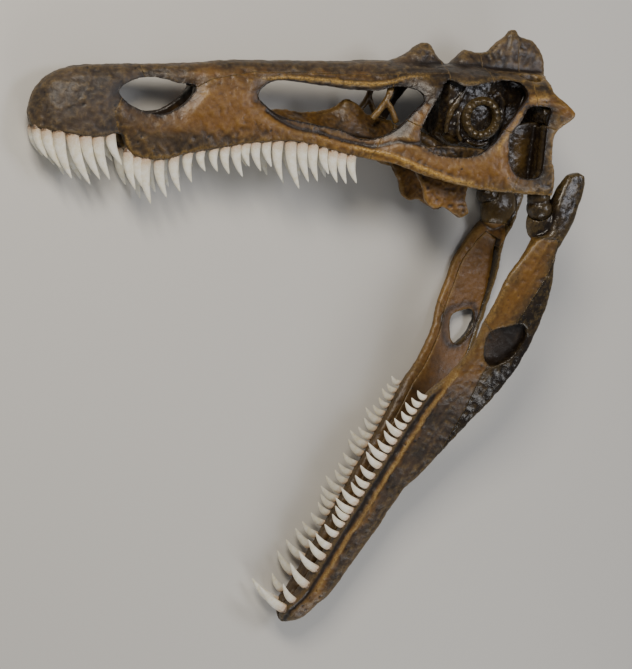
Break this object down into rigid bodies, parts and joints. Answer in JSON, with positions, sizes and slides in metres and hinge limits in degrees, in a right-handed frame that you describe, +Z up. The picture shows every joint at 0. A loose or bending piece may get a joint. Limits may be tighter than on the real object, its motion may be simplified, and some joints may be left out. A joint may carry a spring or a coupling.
{
  "type": "long-snouted theropod dinosaur skull",
  "caption": "Life-size fossil skull of a long-snouted fish-eating theropod, jaws wide open, laid on its right side as a still museum model.",
  "frame": {"origin": "middle of the footprint, on the floor that the skull lies on", "axes": "+Z up, to the skull's left side; -X towards the snout; +Y towards the skull roof"},
  "size_m": [1.1148, 1.231, 0.289],
  "materials": {
    "bone_snout": "satin",
    "bone_gold": "satin",
    "bone_roof": "satin",
    "bone_dark": "gloss",
    "tooth_ivory": "gloss"
  },
  "bodies": {
    "root": {"premaxilla_left": "bone_snout", "premaxilla_right": "bone_snout", "maxilla_left": "bone_gold", "maxilla_right": "bone_gold", "nasal_left": "bone_roof", "nasal_right": "bone_roof", "lacrimal_left": "bone_gold", "lacrimal_right": "bone_gold", "jugal_left": "bone_gold", "jugal_right": "bone_gold", "frontal_left": "bone_roof", "frontal_right": "bone_roof", "parietal": "bone_roof", "postorbital_left": "bone_gold", "postorbital_right": "bone_gold", "squamosal_left": "bone_gold", "squamosal_right": "bone_gold", "quadratojugal_left": "bone_gold", "quadratojugal_right": "bone_gold", "braincase": "bone_dark", "sclerotic_ring_left": "bone_dark", "sclerotic_ring_right": "bone_dark", "palatine_left": "bone_gold", "palatine_right": "bone_gold", "pterygoid_left": "bone_gold", "pterygoid_right": "bone_gold", "ectopterygoid_left": "bone_gold", "ectopterygoid_right": "bone_gold", "quadrate_left": "bone_dark", "quadrate_right": "bone_dark", "dentary_left": "bone_snout", "dentary_right": "bone_snout", "splenial_left": "bone_snout", "splenial_right": "bone_snout", "surangular_left": "bone_gold", "surangular_right": "bone_gold", "angular_left": "bone_dark", "angular_right": "bone_dark", "articular_left": "bone_dark", "articular_right": "bone_dark"}
  },
  "joints": []
}
